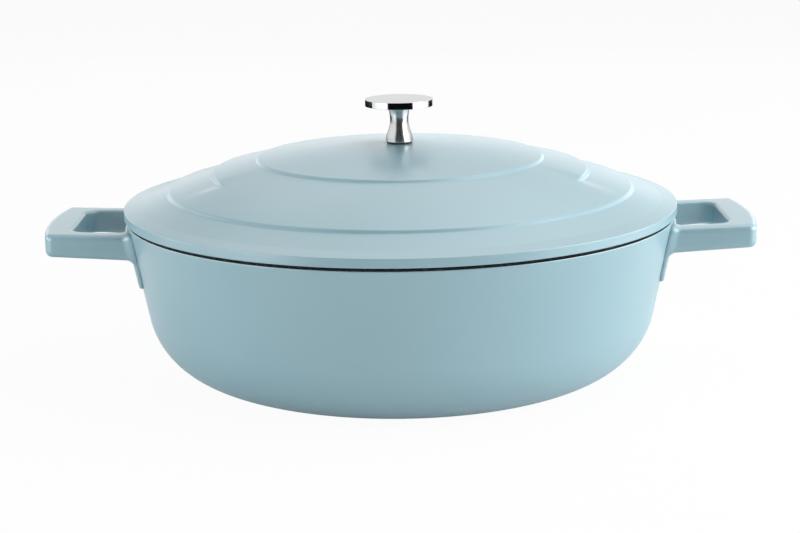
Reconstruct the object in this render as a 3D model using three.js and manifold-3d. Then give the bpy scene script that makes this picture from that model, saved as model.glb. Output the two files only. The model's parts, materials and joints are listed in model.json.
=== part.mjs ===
// Shallow casserole-style saute pan, 28 cm: cast body with two loop handles, stepped lid and disc knob.
// Millimetres, +Z up. The origin is the middle of the base, on the surface that the pan stands on.
import * as THREE from "three";
import { mergeVertices } from "three/addons/utils/BufferGeometryUtils.js";
import Module from "manifold-3d";

const wasm = await Module();
wasm.setup();

// Fineness of the round forms
const roundSides = 60;
const knobSides = 36;
const smallSides = 20;
const fit = 0.15; // gap between pieces that touch
const clearance = 0.3; // gap round a piece that passes through another

// Pan body: straight drafted wall and one arc into a flat base
const rimRadius = 144.7;
const rimHeight = 84.5;
const wallThickness = 4.2;
const wallDraft = THREE.MathUtils.degToRad(11);
const heelRadius = 41;

// Black non-stick lining, which turns out over the rim as a narrow band
const liningThickness = 0.8;
const lipHeight = 1.3;
const lipSetback = 0.15;

// Steel disc let into the base
const discRadius = 84;
const discThickness = 1.4;

// Lid, in heights above its lower edge
const lidRadius = 146;
const lidEdgeHeight = 86.05;
const lidBandHeight = 4.2;
const lidThickness = 3.6;
const brimInner = { r: 138, z: 6.6 };
const brimOuter = { r: 145.3, z: 4.8 };
const lowStep = { foot: { r: 123.7, z: 11.4 }, top: { r: 121.9, z: 13.3 } };
const midStep = { foot: 100.3, top: 98.5, rise: 2.1, endAngle: 69, endBlend: 6 };
const highStep = { foot: { r: 76.5, z: 27.05 }, top: { r: 74.8, z: 28.6 } };
const panelCrown = 0.6; // how far the panel between the two full steps bulges
const apexHeight = 35.1;
const crownFall = 1.8; // power by which the crown falls away from the knob
const seatRadius = 8.5; // flat seat of the knob
const guideRing = { outer: 136.5, inner: 133.6, depth: 5.5 };
const hollow = { rimZ: 3, steepening: 0.15 }; // underside of the dome, steeper towards its rim
const lidLiningThickness = 0.6;

// Knob of two turned pieces on a gasket, held by a screw from below
const gasket = { radius: 6.7, thickness: 0.5 };
const knobTop = { radius: 18, thickness: 3.6, height: 58.65, edge: 0.5 };
const stem = { foot: 7.1, waist: 4.85, neck: 6.35, waistHeight: 47.8, footLand: 0.1, neckLand: 0.25 };
const spigot = { radius: 3, depth: 2 };
const screw = { radius: 2.5, headRadius: 4.6, headHeight: 2.8, grip: 13, slotWidth: 1.2, slotDepth: 1.4 };
const flatWasher = { outer: 6, thickness: 1 };
const splitWasher = { outer: 4.4, thickness: 1.2, split: 1.2 };

// Loop handles
const handle = {
  top: 82.1,
  rootTop: 80.8,
  thickness: 11.9,
  rootThickness: 13.2,
  reach: 187.2,
  endBulge: 4.2,
  halfWidth: 38.6,
  cornerRadius: 5,
  holeEnd: 171.3,
  holeHalfWidth: 29,
  holeCornerRadius: 10,
  edge: 2.6,
  rootDepth: 16, // how far the arms run in behind the rim before the wall trims them
};
const pad = {
  proud: 1.9,
  top: 80.6,
  topHalfWidth: 39,
  lowHalfWidth: 36.6,
  corner: 52.2,
  nose: 49.8,
  round: 6,
  cornerDrop: 1, // how far the rounded lower corner falls
  blank: 154, // reach of the plate before the wall trims it
};
const rivet = { radius: 2.5, headRadius: 4.8, headHeight: 1.8, bite: 6, spread: 13.4, height: 75 };

// Finishes
const enamel = { color: 0x89b0bc, roughness: 0.42, metalness: 0.0 };
const nonstick = { color: 0x0b0d0e, roughness: 0.5, metalness: 0.0 };
const polishedSteel = { color: 0xc9ccce, roughness: 0.16, metalness: 1.0 };
const brushedSteel = { color: 0xb7babc, roughness: 0.38, metalness: 1.0 };
const aluminium = { color: 0xc3c6c9, roughness: 0.35, metalness: 1.0 };
const silicone = { color: 0x1b1e20, roughness: 0.7, metalness: 0.0 };

// Closed geometry with shared vertices, no collapsed triangles and faces pointing out
function closed(source) {
  let geometry = source.clone();
  for (const name of Object.keys(geometry.attributes)) {
    if (name !== "position") geometry.deleteAttribute(name);
  }
  geometry = mergeVertices(geometry, 1e-3);
  const index = geometry.index.array;
  const position = geometry.attributes.position;
  const corners = [0, 1, 2].map(() => new THREE.Vector3());
  const kept = [];
  let volume = 0;
  for (let i = 0; i < index.length; i += 3) {
    const [a, b, c] = [index[i], index[i + 1], index[i + 2]];
    if (a === b || b === c || c === a) continue;
    kept.push(a, b, c);
    [a, b, c].forEach((v, k) => corners[k].fromBufferAttribute(position, v));
    volume += corners[0].dot(corners[1].cross(corners[2])) / 6;
  }
  if (volume < 0) kept.reverse();
  geometry.setIndex(kept);
  return geometry;
}

function toSolid(geometry) {
  const whole = closed(geometry);
  const vertProperties = new Float32Array(whole.attributes.position.array);
  const triVerts = new Uint32Array(whole.index.array);
  return new wasm.Manifold(new wasm.Mesh({ numProp: 3, vertProperties, triVerts }));
}

function toGeometry(solid) {
  const mesh = solid.getMesh();
  const geometry = new THREE.BufferGeometry();
  geometry.setAttribute("position", new THREE.BufferAttribute(mesh.vertProperties, 3));
  geometry.setIndex(new THREE.BufferAttribute(mesh.triVerts, 1));
  return closed(geometry);
}

// Profile turned about the Z axis, given as [radius, height] pairs
function turned(profile, sides) {
  const points = profile.map(([r, z]) => new THREE.Vector2(r, z));
  return new THREE.LatheGeometry(points, sides).rotateX(Math.PI / 2);
}

function ring(outer, inner, low, high, sides) {
  return turned([[inner, low], [outer, low], [outer, high], [inner, high], [inner, low]], sides);
}

function cylinder(radius, low, high, sides) {
  return turned([[0, low], [radius, low], [radius, high], [0, high]], sides);
}

function mix(a, b, t) {
  return a + (b - a) * t;
}

function spaced(from, to, count) {
  return Array.from({ length: count + 1 }, (_, i) => mix(from, to, i / count));
}

function piece(name, geometry, finish) {
  const mesh = new THREE.Mesh(closed(geometry), new THREE.MeshStandardMaterial(finish));
  mesh.name = name;
  return mesh;
}

// Wall of the pan, a set distance inside its outer face: from the middle of the base up to a height
function wallCurve(inset, topHeight) {
  const heelTopZ = heelRadius * (1 - Math.sin(wallDraft));
  const heelTopR = rimRadius - (rimHeight - heelTopZ) * Math.tan(wallDraft);
  const heelCentreR = heelTopR - heelRadius * Math.cos(wallDraft);
  const radius = heelRadius - inset;
  const points = spaced(Math.PI / 2, wallDraft, 8).map((angle) => [
    heelCentreR + radius * Math.cos(angle),
    heelRadius - radius * Math.sin(angle),
  ]);
  const [startR, startZ] = points[points.length - 1];
  points.push([startR + (topHeight - startZ) * Math.tan(wallDraft), topHeight]);
  return points;
}

function panBlock(inset, topHeight) {
  const wall = wallCurve(inset, topHeight);
  return turned([[0, wall[0][1]], ...wall, [0, topHeight]], roundSides);
}

function makePanShell() {
  const outer = wallCurve(0, rimHeight);
  const inner = wallCurve(wallThickness, rimHeight).reverse();
  const recess = { r: discRadius + clearance, z: discThickness + fit };
  return turned(
    [[0, recess.z], [recess.r, recess.z], [recess.r, 0], ...outer, ...inner, [0, wallThickness]],
    roundSides,
  );
}

function makeLining() {
  const back = wallThickness + fit;
  const face = back + liningThickness;
  const lipLow = rimHeight + fit;
  const lipHigh = lipLow + lipHeight;
  const lipRadius = rimRadius - lipSetback;
  return turned(
    [
      [0, back],
      ...wallCurve(back, lipLow),
      [lipRadius, lipLow],
      [lipRadius, lipHigh],
      ...wallCurve(face, lipHigh).reverse(),
      [0, face],
    ],
    roundSides,
  );
}

// Height of the lid's top at a radius; wave is 1 where the middle step is whole and 0 where it has run out
function panelHeight(r, wave) {
  const [inside, outside] = [highStep.foot, lowStep.top];
  const t = (r - inside.r) / (outside.r - inside.r);
  const plain = mix(inside.z, outside.z, t) + 4 * panelCrown * t * (1 - t);
  const half = midStep.rise / 2;
  if (r <= midStep.top) return plain + wave * half * (r - inside.r) / (midStep.top - inside.r);
  if (r >= midStep.foot) return plain - wave * half * (outside.r - r) / (outside.r - midStep.foot);
  return plain + wave * mix(half, -half, (r - midStep.top) / (midStep.foot - midStep.top));
}

function crownHeight(r) {
  const t = Math.max(r - seatRadius, 0) / (highStep.top.r - seatRadius);
  return mix(apexHeight, highStep.top.z, t ** crownFall);
}

// Underside of the lid shell, smooth below the steps
function hollowHeight(r) {
  const t = (r / guideRing.inner) ** 2;
  return mix(apexHeight - lidThickness, hollow.rimZ, mix(t, t * t, hollow.steepening));
}

function makeLidShell() {
  const screwHole = screw.radius + clearance;
  const crown = spaced(seatRadius, highStep.top.r, 5).map((r) => [r, crownHeight(r)]);
  const upperPanel = spaced(highStep.foot.r, midStep.top, 3).map((r) => [r, panelHeight(r, 1)]);
  const lowerPanel = spaced(midStep.foot, lowStep.top.r, 3).map((r) => [r, panelHeight(r, 1)]);
  const underside = spaced(guideRing.inner, screwHole, 8).map((r) => [r, hollowHeight(r)]);
  const profile = [
    [screwHole, apexHeight],
    ...crown,
    ...upperPanel,
    ...lowerPanel,
    [lowStep.foot.r, lowStep.foot.z],
    [brimInner.r, brimInner.z],
    [brimOuter.r, brimOuter.z],
    [lidRadius, lidBandHeight],
    [lidRadius, 0],
    [guideRing.outer, 0],
    [guideRing.outer, -guideRing.depth],
    [guideRing.inner, -guideRing.depth],
    ...underside,
    [screwHole, apexHeight],
  ];
  const geometry = turned(profile, roundSides);
  const position = geometry.attributes.position;
  const point = new THREE.Vector3();
  for (let i = 0; i < position.count; i++) {
    point.fromBufferAttribute(position, i);
    const r = Math.hypot(point.x, point.y);
    const onPanel = r > highStep.foot.r + clearance && r < lowStep.top.r - clearance;
    if (!onPanel || point.z < hollowHeight(r) + lidThickness / 2) continue;
    const fromFront = THREE.MathUtils.radToDeg(Math.atan2(Math.abs(point.x), -point.y));
    const wave = THREE.MathUtils.smoothstep(
      fromFront,
      midStep.endAngle - midStep.endBlend,
      midStep.endAngle + midStep.endBlend,
    );
    position.setZ(i, panelHeight(r, wave));
  }
  return geometry;
}

function makeLidLining() {
  const edge = guideRing.inner - 2 * clearance;
  const hole = screw.radius + clearance;
  const radii = spaced(hole, edge, 8);
  const upper = radii.map((r) => [r, hollowHeight(r) - fit]);
  const lower = radii.map((r) => [r, hollowHeight(r) - fit - lidLiningThickness]).reverse();
  return turned([...upper, ...lower, upper[0]], roundSides);
}

// Disc of the knob, with a blind socket for the stem's spigot
function makeKnobDisc() {
  const { radius, thickness, height, edge } = knobTop;
  const low = height - thickness;
  const socket = { r: spigot.radius + fit, z: low + spigot.depth + fit };
  return turned(
    [
      [0, socket.z],
      [socket.r, socket.z],
      [socket.r, low],
      [radius - edge, low],
      [radius, low + edge],
      [radius, height - edge],
      [radius - edge, height],
      [0, height],
    ],
    knobSides,
  );
}

function makeKnobStem() {
  const low = apexHeight + gasket.thickness + 2 * fit;
  const high = knobTop.height - knobTop.thickness - fit;
  const bore = { r: screw.radius + fit, z: low + screw.grip + 2 * clearance };
  const rise = stem.waistHeight - low;
  const footCurve = spaced(stem.footLand, 1, 6).map((t) => [
    mix(stem.foot, stem.waist, THREE.MathUtils.smootherstep(t, 0, 1)),
    low + t * rise,
  ]);
  const neckCurve = spaced(stem.neckLand, 1, 3).map((t) => [
    mix(stem.waist, stem.neck, t * t),
    mix(stem.waistHeight, high, t),
  ]);
  return turned(
    [
      [0, bore.z],
      [bore.r, bore.z],
      [bore.r, low],
      [gasket.radius - fit, low],
      ...footCurve,
      ...neckCurve,
      [spigot.radius, high],
      [spigot.radius, high + spigot.depth],
      [0, high + spigot.depth],
    ],
    knobSides,
  );
}

// Stack below the lid: flat washer, split washer, slotted screw
const stackTop = apexHeight - lidThickness - 2 * fit - lidLiningThickness;
const splitWasherTop = stackTop - flatWasher.thickness - fit;
const headTop = splitWasherTop - splitWasher.thickness - fit;

function makeScrew() {
  const { radius, headRadius, headHeight, grip, slotWidth, slotDepth } = screw;
  const tip = apexHeight + gasket.thickness + 2 * fit + grip;
  const chamfer = 0.8;
  const body = turned(
    [
      [0, headTop - headHeight],
      [headRadius - chamfer, headTop - headHeight],
      [headRadius, headTop - headHeight + chamfer],
      [headRadius, headTop],
      [radius, headTop],
      [radius, tip - chamfer],
      [radius - chamfer, tip],
      [0, tip],
    ],
    smallSides,
  );
  const acrossHead = 3 * headRadius;
  const slot = new THREE.BoxGeometry(acrossHead, slotWidth, 2 * slotDepth);
  slot.translate(0, 0, headTop - headHeight);
  return toGeometry(toSolid(body).subtract(toSolid(slot)));
}

function makeSplitWasher() {
  const { outer, thickness, split } = splitWasher;
  const whole = ring(outer, screw.radius + fit, splitWasherTop - thickness, splitWasherTop, smallSides);
  const cut = new THREE.BoxGeometry(2 * outer, split, 3 * thickness);
  cut.translate(outer, 0, splitWasherTop);
  return toGeometry(toSolid(whole).subtract(toSolid(cut)));
}

// Outline of the right handle seen from above, with an arched end and the finger hole
function handleOutline() {
  const { reach, endBulge, halfWidth, cornerRadius, edge } = handle;
  const { holeEnd, holeHalfWidth, holeCornerRadius, rootDepth } = handle;
  const rootX = rimRadius - rootDepth;
  const side = halfWidth - edge;
  const end = reach - edge;
  const cornerX = end - endBulge;
  const outline = new THREE.Shape();
  outline.moveTo(rootX, -side);
  outline.lineTo(cornerX - cornerRadius, -side);
  outline.quadraticCurveTo(cornerX, -side, cornerX, -side + cornerRadius);
  outline.quadraticCurveTo(end + endBulge, 0, cornerX, side - cornerRadius);
  outline.quadraticCurveTo(cornerX, side, cornerX - cornerRadius, side);
  outline.lineTo(rootX, side);
  outline.closePath();
  const hole = new THREE.Path();
  const holeSide = holeHalfWidth + edge;
  const holeX = holeEnd + edge;
  hole.moveTo(rootX + edge, -holeSide);
  hole.lineTo(rootX + edge, holeSide);
  hole.lineTo(holeX - holeCornerRadius, holeSide);
  hole.quadraticCurveTo(holeX, holeSide, holeX, holeSide - holeCornerRadius);
  hole.lineTo(holeX, -holeSide + holeCornerRadius);
  hole.quadraticCurveTo(holeX, -holeSide, holeX - holeCornerRadius, -holeSide);
  hole.closePath();
  outline.holes.push(hole);
  return outline;
}

// Loop of the handle: rounded bar that falls a little and grows thicker towards the pan
function makeLoop() {
  const { top, rootTop, thickness, rootThickness, reach, edge } = handle;
  const loop = new THREE.ExtrudeGeometry(handleOutline(), {
    depth: thickness - 2 * edge,
    bevelThickness: edge,
    bevelSize: edge,
    bevelSegments: 3,
    curveSegments: 6,
  });
  loop.translate(0, 0, top - thickness + edge);
  const position = loop.attributes.position;
  for (let i = 0; i < position.count; i++) {
    const inward = (reach - position.getX(i)) / (reach - rimRadius);
    const growth = mix(1, rootThickness / thickness, inward);
    position.setZ(i, mix(top, rootTop, inward) - (top - position.getZ(i)) * growth);
  }
  return loop;
}

// Shield-shaped pad that backs the loop on the pan's wall
function makePad() {
  const { proud, top, topHalfWidth, lowHalfWidth, corner, nose, round, cornerDrop, blank } = pad;
  const cornerFoot = corner - cornerDrop;
  const outline = new THREE.Shape();
  outline.moveTo(-topHalfWidth, top);
  outline.lineTo(-lowHalfWidth, corner + round);
  outline.quadraticCurveTo(-lowHalfWidth, corner, -lowHalfWidth + round, cornerFoot);
  outline.quadraticCurveTo(0, 2 * nose - cornerFoot, lowHalfWidth - round, cornerFoot);
  outline.quadraticCurveTo(lowHalfWidth, corner, lowHalfWidth, corner + round);
  outline.lineTo(topHalfWidth, top);
  outline.closePath();
  const plate = new THREE.ExtrudeGeometry(outline, { depth: blank, bevelEnabled: false, curveSegments: 4 });
  plate.applyMatrix4(new THREE.Matrix4().makeBasis(
    new THREE.Vector3(0, 1, 0),
    new THREE.Vector3(0, 0, 1),
    new THREE.Vector3(1, 0, 0),
  ));
  return toSolid(plate).intersect(toSolid(panBlock(-proud, rimHeight)));
}

// Place of a rivet on the wall, with its length across it; side is +1 or -1 in Y
function rivetPlace(side) {
  const radius = rimRadius - (rimHeight - rivet.height) * Math.tan(wallDraft);
  const turn = THREE.MathUtils.degToRad(side * rivet.spread);
  const place = new THREE.Matrix4().makeRotationZ(turn);
  place.multiply(new THREE.Matrix4().makeTranslation(radius, 0, rivet.height));
  return place.multiply(new THREE.Matrix4().makeRotationY(Math.PI / 2 + wallDraft));
}

function makeRivet() {
  const { radius, headRadius, headHeight, bite } = rivet;
  const seat = -(wallThickness + fit + liningThickness + 2 * clearance); // clear of the curved lining
  const head = spaced(0, Math.PI / 2, 3).map((angle) => [
    headRadius * Math.sin(angle),
    seat - headHeight * Math.cos(angle),
  ]);
  return turned(
    [
      ...head,
      [radius, seat],
      [radius, bite],
      [0, bite],
    ],
    smallSides,
  );
}

function rivetHoles() {
  const { radius, bite, headRadius } = rivet;
  const drill = cylinder(radius + clearance, -2 * headRadius, bite + clearance, smallSides);
  return [1, -1].map((side) => toSolid(drill.clone().applyMatrix4(rivetPlace(side))));
}

function makeHandle() {
  const wall = toSolid(panBlock(-clearance, rimHeight + handle.rootThickness));
  let solid = toSolid(makeLoop()).add(makePad()).subtract(wall);
  for (const hole of rivetHoles()) solid = solid.subtract(hole);
  return toGeometry(solid);
}

function drilled(geometry) {
  let solid = toSolid(geometry);
  for (const hole of rivetHoles()) {
    const opposite = hole.rotate([0, 0, 180]);
    solid = solid.subtract(hole).subtract(opposite);
  }
  return toGeometry(solid);
}

// Pan with its lining, base disc, handles and rivets
const pan = new THREE.Group();
pan.add(piece("pan_shell", drilled(makePanShell()), enamel));
pan.add(piece("nonstick_lining", drilled(makeLining()), nonstick));
pan.add(piece("induction_disc", cylinder(discRadius, 0, discThickness, roundSides), brushedSteel));
const handleShape = makeHandle();
for (const [name, turn] of [["right", 0], ["left", Math.PI]]) {
  const side = new THREE.Group();
  side.rotation.z = turn;
  side.add(piece(`${name}_handle`, handleShape, enamel));
  for (const sideY of [1, -1]) {
    const front = sideY * Math.cos(turn) < 0;
    const geometry = makeRivet().applyMatrix4(rivetPlace(sideY));
    side.add(piece(`${name}_handle_${front ? "front" : "rear"}_rivet`, geometry, aluminium));
  }
  pan.add(side);
}

// Lid with its lining, knob and fastening
const lid = new THREE.Group();
lid.position.z = lidEdgeHeight;
lid.add(piece("lid_shell", makeLidShell(), enamel));
lid.add(piece("lid_lining", makeLidLining(), nonstick));
const gasketLow = apexHeight + fit;
const screwHole = screw.radius + clearance;
const gasketShape = ring(gasket.radius, screwHole, gasketLow, gasketLow + gasket.thickness, knobSides);
lid.add(piece("knob_gasket", gasketShape, silicone));
lid.add(piece("knob_stem", makeKnobStem(), polishedSteel));
lid.add(piece("knob_disc", makeKnobDisc(), brushedSteel));
const washerLow = stackTop - flatWasher.thickness;
const washerShape = ring(flatWasher.outer, screwHole, washerLow, stackTop, smallSides);
lid.add(piece("screw_washer", washerShape, polishedSteel));
lid.add(piece("spring_washer", makeSplitWasher(), polishedSteel));
lid.add(piece("knob_screw", makeScrew(), polishedSteel));

const sautePan = new THREE.Group();
sautePan.add(pan, lid);

export default sautePan;
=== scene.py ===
import json
import math
import bmesh
import bpy
import numpy as np
from mathutils import Matrix, Vector

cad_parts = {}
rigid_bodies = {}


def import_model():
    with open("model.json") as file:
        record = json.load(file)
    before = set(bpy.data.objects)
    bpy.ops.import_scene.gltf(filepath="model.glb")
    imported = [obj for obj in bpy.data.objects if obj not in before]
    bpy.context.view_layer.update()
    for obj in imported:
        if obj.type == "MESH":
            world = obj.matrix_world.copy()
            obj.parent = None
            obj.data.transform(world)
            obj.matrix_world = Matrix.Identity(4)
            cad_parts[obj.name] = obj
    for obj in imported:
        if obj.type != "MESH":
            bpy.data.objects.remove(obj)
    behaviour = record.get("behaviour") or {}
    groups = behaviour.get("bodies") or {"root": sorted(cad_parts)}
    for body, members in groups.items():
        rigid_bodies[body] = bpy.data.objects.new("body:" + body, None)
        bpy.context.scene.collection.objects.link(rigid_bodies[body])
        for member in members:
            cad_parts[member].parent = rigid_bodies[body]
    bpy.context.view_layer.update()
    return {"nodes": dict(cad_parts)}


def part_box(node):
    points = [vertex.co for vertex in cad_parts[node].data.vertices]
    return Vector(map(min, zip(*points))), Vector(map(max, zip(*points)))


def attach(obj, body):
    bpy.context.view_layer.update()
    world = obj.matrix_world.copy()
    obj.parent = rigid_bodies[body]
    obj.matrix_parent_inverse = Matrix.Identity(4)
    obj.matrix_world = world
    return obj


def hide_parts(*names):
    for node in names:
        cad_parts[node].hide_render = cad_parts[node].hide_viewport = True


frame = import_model()
scene = bpy.context.scene
scene.view_settings.view_transform = "Standard"
metre = 1000  # sizes below are in millimetres, meshes are made in metres
print("frame loaded with", len(frame["nodes"]), "nodes")


# Places taken from the frame
def boxMm(node):
    low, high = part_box(node)
    return low * metre, high * metre


rimRadius = boxMm("pan_shell")[1].x
rimHeight = boxMm("pan_shell")[1].z
lidRadius = boxMm("lid_shell")[1].x
lidTop = boxMm("lid_shell")[1].z


# Small node helpers, used for shaders and for geometry
def wire(tree, source, socket):
    if isinstance(source, bpy.types.NodeSocket):
        tree.links.new(source, socket)
    else:
        socket.default_value = source


def mathOf(tree, operation, *terms):
    node = tree.nodes.new("ShaderNodeMath")
    node.operation = operation
    for term, socket in zip(terms, node.inputs):
        wire(tree, term, socket)
    return node.outputs[0]


def addNode(tree, kind, inputs=None, **settings):
    node = tree.nodes.new(kind)
    for name, value in settings.items():
        setattr(node, name, value)
    for name, value in (inputs or {}).items():
        wire(tree, value, node.inputs[name])
    return node


# Finishes
def newFinish(name):
    finish = bpy.data.materials.new(name)
    finish.use_nodes = True
    tree = finish.node_tree
    shader = tree.nodes["Principled BSDF"]
    place = tree.nodes.new("ShaderNodeTexCoord").outputs["Object"]
    return finish, tree, shader, place


def noiseOf(tree, place, scale, detail=2.0):
    node = addNode(tree, "ShaderNodeTexNoise", {"Vector": place, "Scale": scale, "Detail": detail})
    return node.outputs["Fac"]


def spread(tree, source, low, high):
    node = addNode(tree, "ShaderNodeMapRange", {"Value": source, "To Min": low, "To Max": high})
    return node.outputs["Result"]


def tint(tree, source, dark, light):
    node = addNode(tree, "ShaderNodeMix", data_type="RGBA")
    wire(tree, source, node.inputs["Factor"])
    node.inputs["A"].default_value = (*dark, 1)
    node.inputs["B"].default_value = (*light, 1)
    return next(socket for socket in node.outputs if socket.type == "RGBA")


def relief(tree, source, strength, depth):
    inputs = {"Height": source, "Strength": strength, "Distance": depth / metre}
    return addNode(tree, "ShaderNodeBump", inputs).outputs["Normal"]


enamel = {
    "deep": (0.223, 0.370, 0.424),
    "pale": (0.247, 0.396, 0.450),
    "ior": 1.78,
    "roughness": (0.30, 0.36),
    "mottleScale": 22,
    "peelScale": 620,
    "peelStrength": 0.05,
    "peelDepth": 0.25,
}


def makeEnamel(name):
    finish, tree, shader, place = newFinish(name)
    mottle = noiseOf(tree, place, enamel["mottleScale"], 3)
    peel = noiseOf(tree, place, enamel["peelScale"], 1)
    shader.inputs["IOR"].default_value = enamel["ior"]
    wire(tree, tint(tree, mottle, enamel["deep"], enamel["pale"]), shader.inputs["Base Color"])
    wire(tree, spread(tree, mottle, *enamel["roughness"]), shader.inputs["Roughness"])
    wire(tree, relief(tree, peel, enamel["peelStrength"], enamel["peelDepth"]), shader.inputs["Normal"])
    return finish


nonstick = {
    "black": (0.010, 0.011, 0.012),
    "fleck": (0.055, 0.058, 0.060),
    "roughness": (0.42, 0.55),
    "gloss": 0.03,
    "fleckScale": 1500,
    "fleckRange": (0.66, 0.72),
    "grainScale": 2600,
    "grainStrength": 0.15,
    "grainDepth": 0.05,
}


def makeNonstick():
    finish, tree, shader, place = newFinish("blackNonstick")
    fleck = noiseOf(tree, place, nonstick["fleckScale"], 0)
    start, full = nonstick["fleckRange"]
    inputs = {"Value": fleck, "From Min": start, "From Max": full}
    few = addNode(tree, "ShaderNodeMapRange", inputs).outputs["Result"]
    grain = noiseOf(tree, place, nonstick["grainScale"], 1)
    shader.inputs["Specular IOR Level"].default_value = nonstick["gloss"]
    wire(tree, tint(tree, few, nonstick["black"], nonstick["fleck"]), shader.inputs["Base Color"])
    wire(tree, spread(tree, grain, *nonstick["roughness"]), shader.inputs["Roughness"])
    texture = relief(tree, grain, nonstick["grainStrength"], nonstick["grainDepth"])
    wire(tree, texture, shader.inputs["Normal"])
    return finish


steel = {
    "dark": (0.62, 0.63, 0.63),
    "light": (0.74, 0.75, 0.75),
    "mirror": (0.05, 0.09),
    "satin": (0.20, 0.26),
    "brush": (0.26, 0.42),
    # painted shade: a grey edge tone darkens the polished steel's reflection at a glancing angle, standing
    # in for dark surroundings seen at its edges
    "paintedEdgeShade": (0.45, 0.46, 0.47),
    # painted shade: the knob disc's steel tones are dimmed, standing in for the dimmer reflection its top
    # shows
    "discPaintedShade": 0.72,
    "lineScale": 2400,
    "lineDepth": 0.02,
    "fineLines": 0.01,
    "brushLines": 0.25,
    "baseLines": 0.5,
}


# Lines left by turning: they follow one another along the radius, or along the height on round faces
def turningLines(tree, place, alongHeight):
    axes = addNode(tree, "ShaderNodeSeparateXYZ", {"Vector": place}).outputs
    if alongHeight:
        across = axes["Z"]
    else:
        flat = addNode(tree, "ShaderNodeCombineXYZ", {"X": axes["X"], "Y": axes["Y"]}).outputs[0]
        length = addNode(tree, "ShaderNodeVectorMath", {0: flat}, operation="LENGTH")
        across = length.outputs["Value"]
    inputs = {"W": across, "Scale": steel["lineScale"], "Detail": 3.0}
    return addNode(tree, "ShaderNodeTexNoise", inputs, noise_dimensions="1D").outputs["Fac"]


def makeSteel(name, rough, strength, alongHeight, edge=(1, 1, 1), shade=1.0):
    finish, tree, shader, place = newFinish(name)
    lines = turningLines(tree, place, alongHeight)
    # shade below 1 dims the tones: painted shade
    dark, light = [[shade * part for part in steel[tone]] for tone in ("dark", "light")]
    shader.inputs["Metallic"].default_value = 1.0
    # an edge tone below white is painted shade: a darker reflection at a glancing angle
    shader.inputs["Specular Tint"].default_value = (*edge, 1)  # tone at a glancing angle
    wire(tree, tint(tree, lines, dark, light), shader.inputs["Base Color"])
    wire(tree, spread(tree, lines, *rough), shader.inputs["Roughness"])
    wire(tree, relief(tree, lines, strength, steel["lineDepth"]), shader.inputs["Normal"])
    return finish


aluminium = {
    "dark": (0.58, 0.59, 0.60),
    "light": (0.72, 0.73, 0.74),
    "roughness": (0.30, 0.42),
    "grainScale": 900,
    "grainStrength": 0.08,
    "grainDepth": 0.03,
}


def makeAluminium():
    finish, tree, shader, place = newFinish("satinAluminium")
    grain = noiseOf(tree, place, aluminium["grainScale"], 3)
    shader.inputs["Metallic"].default_value = 1.0
    wire(tree, tint(tree, grain, aluminium["dark"], aluminium["light"]), shader.inputs["Base Color"])
    wire(tree, spread(tree, grain, *aluminium["roughness"]), shader.inputs["Roughness"])
    texture = relief(tree, grain, aluminium["grainStrength"], aluminium["grainDepth"])
    wire(tree, texture, shader.inputs["Normal"])
    return finish


silicone = {
    "dark": (0.016, 0.018, 0.019),
    "light": (0.030, 0.032, 0.034),
    "roughness": (0.6, 0.75),
    "grainScale": 1200,
}


def makeSilicone():
    finish, tree, shader, place = newFinish("mattSilicone")
    grain = noiseOf(tree, place, silicone["grainScale"])
    wire(tree, tint(tree, grain, silicone["dark"], silicone["light"]), shader.inputs["Base Color"])
    wire(tree, spread(tree, grain, *silicone["roughness"]), shader.inputs["Roughness"])
    return finish


panEnamel = makeEnamel("panEnamel")
lidEnamel = makeEnamel("lidEnamel")
blackNonstick = makeNonstick()
# the polished steel carries the painted edge shade
polishedSteel = makeSteel("polishedSteel", steel["satin"], steel["fineLines"], True, steel["paintedEdgeShade"])
mirrorSteel = makeSteel("mirrorSteel", steel["mirror"], steel["fineLines"], True)
# the disc top's steel, darkened by painted shade
brushedSteelPaintedShade = makeSteel("brushedSteelPaintedShade", steel["brush"], steel["brushLines"], False,
                         shade=steel["discPaintedShade"])
turnedSteel = makeSteel("turnedBaseSteel", steel["brush"], steel["baseLines"], False)
satinAluminium = makeAluminium()
mattSilicone = makeSilicone()
print("finishes made:", len(bpy.data.materials))

# Outlines in (radius, height); a third number rounds that corner
cornerLimits = {"arc": 0.45, "hold": 0.3, "holdEnd": 0.49}  # arc and holdEnd are shares of an edge


def softOutline(points, steps=6):
    path = []
    for i, point in enumerate(points):
        if len(point) < 3:
            path.append(point)
            continue
        corner = Vector(point[:2])
        before = Vector(points[i - 1][:2]) - corner
        after = Vector(points[(i + 1) % len(points)][:2]) - corner
        half = before.angle(after) / 2
        shortest = min(before.length, after.length)
        reach = min(point[2] / math.tan(half), cornerLimits["arc"] * shortest)
        middle = corner + (before.normalized() + after.normalized()).normalized() * reach / math.cos(half)
        start = corner + before.normalized() * reach - middle
        turn = -start.angle_signed(corner + after.normalized() * reach - middle)
        held = reach * (1 + cornerLimits["hold"])  # a ring beside each arc keeps the flat next to it flat
        holdEnd = cornerLimits["holdEnd"]
        path.append(tuple(corner + before.normalized() * min(held, holdEnd * before.length)))
        for k in range(steps + 1):
            path.append(tuple(middle + Matrix.Rotation(turn * k / steps, 2) @ start))
        path.append(tuple(corner + after.normalized() * min(held, holdEnd * after.length)))
    return path


def mix(a, b, t):
    return a + (b - a) * t


def ease(value, start, end):
    t = np.clip((value - start) / (end - start), 0, 1)
    return t * t * t * (t * (6 * t - 15) + 10)  # level at both ends, with no jump in curvature


# Geometry Nodes trees take an outline or an empty mesh, and end in one painted, realized piece
def newTree(name, inputs):
    tree = bpy.data.node_groups.new(name, "GeometryNodeTree")
    tree.interface.new_socket("Outline", in_out="INPUT", socket_type="NodeSocketGeometry")
    tree.interface.new_socket("Piece", in_out="OUTPUT", socket_type="NodeSocketGeometry")
    for label, kind in inputs.items():
        tree.interface.new_socket(label, in_out="INPUT", socket_type="NodeSocket" + kind)
    return tree, tree.nodes.new("NodeGroupInput").outputs


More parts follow.
